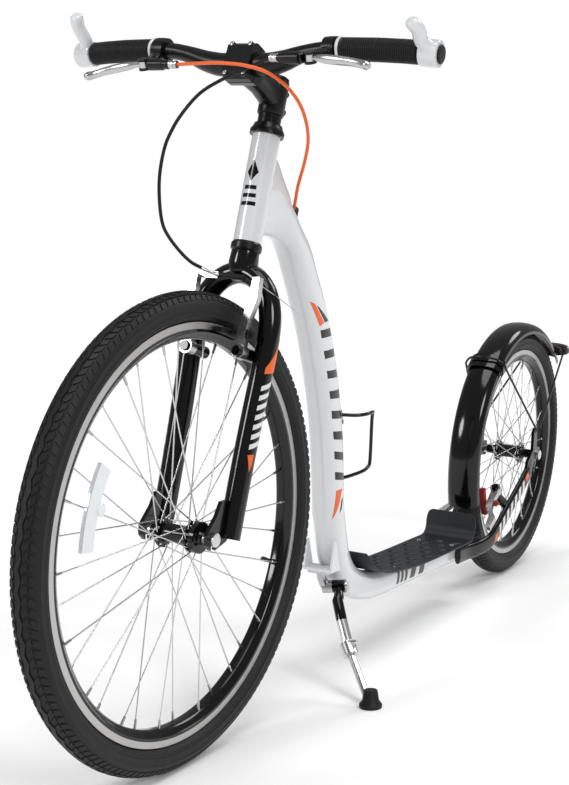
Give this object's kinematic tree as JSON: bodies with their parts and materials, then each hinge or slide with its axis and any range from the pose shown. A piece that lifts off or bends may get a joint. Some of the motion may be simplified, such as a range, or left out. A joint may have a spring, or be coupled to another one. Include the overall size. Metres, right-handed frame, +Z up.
{
  "type": "kick scooter",
  "caption": "Large-wheeled kick scooter: low footboard, spoked wheels, steering bar, rim brakes with hand levers, rear mudguard, bottle cage and a folding side stand.",
  "frame": {"origin": "centre of the bounding box on the floor, the scooter standing on both wheels and its side stand", "axes": "+X forward along the rolling direction, +Y to the rider's left (the side stand's side), +Z up"},
  "size_m": [1.8361, 0.5826, 1.0297],
  "materials": {
    "white_paint": "gloss white paint",
    "black_paint": "gloss black paint",
    "satin_black": "satin black anodised",
    "deck_grey": "dark grey, dimpled",
    "black_plastic": "gloss black",
    "black_rubber": "matte black",
    "tyre_rubber": "moulded tread",
    "rim_alloy": "machined brake track",
    "spoke_steel": "bright drawn wire",
    "silver_alloy": "polished",
    "steel": "zinc plated",
    "red_rubber": "brake pad",
    "orange_housing": "cable housing",
    "clear_reflector": "prismatic",
    "red_reflector": "prismatic, black housing"
  },
  "bodies": {
    "frame": {"main_frame": "white_paint", "rear_stay_left": "black_paint", "rear_stay_right": "black_paint", "deck_plate": "deck_grey", "stand_bracket": "white_paint", "stand_mount": "steel", "bottle_cage": "black_paint", "mudguard": "black_plastic", "mudguard_bridge": "black_paint", "mudguard_stay_front": "black_paint", "mudguard_stay_rear": "black_paint", "rear_reflector": "red_reflector", "cable_grommet": "black_rubber", "headset_upper_cup": "satin_black", "headset_lower_cup": "satin_black", "rear_axle": "steel"},
    "steering": {"fork": "black_paint", "headset_spacers": "satin_black", "stem": "satin_black", "stem_faceplate": "satin_black", "stem_cap": "satin_black", "handlebar": "satin_black", "grip_left": "black_rubber", "grip_right": "black_rubber", "bar_end_left": "satin_black", "bar_end_right": "satin_black", "bar_plug_left": "black_rubber", "bar_plug_right": "black_rubber", "lever_mount_left": "satin_black", "lever_mount_right": "satin_black", "front_brake_cable": "black_rubber", "rear_brake_cable": "orange_housing", "front_axle": "steel"},
    "front_wheel": {"front_tyre": "tyre_rubber", "front_rim": "rim_alloy", "front_hub": "satin_black", "front_spokes_left": "spoke_steel", "front_spokes_right": "spoke_steel", "front_reflector": "clear_reflector"},
    "rear_wheel": {"rear_tyre": "tyre_rubber", "rear_rim": "rim_alloy", "rear_hub": "satin_black", "rear_spokes_left": "spoke_steel", "rear_spokes_right": "spoke_steel"},
    "side_stand": {"stand_leg": "black_paint", "stand_lower_leg": "spoke_steel", "stand_foot": "black_rubber"},
    "lever_left": {"lever_left": "silver_alloy"},
    "lever_right": {"lever_right": "silver_alloy"},
    "front_brake_left": {"front_arm_left": "silver_alloy", "front_pad_left": "black_rubber"},
    "front_brake_right": {"front_arm_right": "silver_alloy", "front_pad_right": "black_rubber", "front_noodle": "silver_alloy", "noodle_boot": "black_rubber"},
    "rear_brake_left": {"rear_arm_left": "silver_alloy", "rear_pad_left": "red_rubber"},
    "rear_brake_right": {"rear_arm_right": "silver_alloy", "rear_pad_right": "red_rubber", "rear_noodle": "black_rubber"}
  },
  "joints": [
    {"name": "steering_turn", "type": "hinge", "parent": "frame", "child": "steering", "pos_m": [0.4356, -0.0086, 0.70955], "axis": [-0.29, 0.0467, 0.9559], "range_deg": [-45, 45], "deforming": ["rear_brake_cable"]},
    {"name": "front_wheel_spin", "type": "hinge", "parent": "steering", "child": "front_wheel", "pos_m": [0.59196, -0.02922, 0.32619], "axis": [0.0467, 0.9983, -0.0346], "continuous": true},
    {"name": "rear_wheel_spin", "type": "hinge", "parent": "frame", "child": "rear_wheel", "pos_m": [-0.668, -0.03109, 0.2497], "axis": [0, 0.9988, -0.0489], "continuous": true},
    {"name": "stand_fold", "type": "hinge", "parent": "frame", "child": "side_stand", "pos_m": [0.147, -0.01575, 0.15384], "axis": [-0.2, 0.9754, 0.0924], "range_deg": [0, 95]},
    {"name": "lever_left_pull", "type": "hinge", "parent": "steering", "child": "lever_left", "pos_m": [0.50597, 0.1277, 0.95089], "axis": [0.3093, 0.0185, 0.9508], "range_deg": [0, 20], "stiffness_Nm_per_rad": 0.6},
    {"name": "lever_right_pull", "type": "hinge", "parent": "steering", "child": "lever_right", "pos_m": [0.49373, -0.13415, 0.95147], "axis": [-0.3093, -0.0185, -0.9508], "range_deg": [0, 20], "stiffness_Nm_per_rad": 0.6},
    {"name": "front_brake_left_swing", "type": "hinge", "parent": "steering", "child": "front_brake_left", "pos_m": [0.51652, 0.02474, 0.56714], "axis": [0.9559, -0.0346, 0.2917], "range_deg": [0, 3.8]},
    {"name": "front_brake_right_swing", "type": "hinge", "parent": "steering", "child": "front_brake_right", "pos_m": [0.5126, -0.05912, 0.57005], "axis": [-0.9559, 0.0346, -0.2917], "range_deg": [0, 3.8]},
    {"name": "rear_brake_left_swing", "type": "hinge", "parent": "frame", "child": "rear_brake_left", "pos_m": [-0.5074, 0.00248, 0.1991], "axis": [-0.6391, -0.0376, -0.7682], "range_deg": [0, 2.4]},
    {"name": "rear_brake_right_swing", "type": "hinge", "parent": "frame", "child": "rear_brake_right", "pos_m": [-0.5074, -0.06943, 0.20262], "axis": [0.6391, 0.0376, 0.7682], "range_deg": [0, 2.4]}
  ],
  "couplings": [
    {"joint": "front_brake_left_swing", "follows": "lever_left_pull", "ratio": 0.19},
    {"joint": "front_brake_right_swing", "follows": "lever_left_pull", "ratio": 0.19},
    {"joint": "rear_brake_left_swing", "follows": "lever_right_pull", "ratio": 0.12},
    {"joint": "rear_brake_right_swing", "follows": "lever_right_pull", "ratio": 0.12}
  ]
}
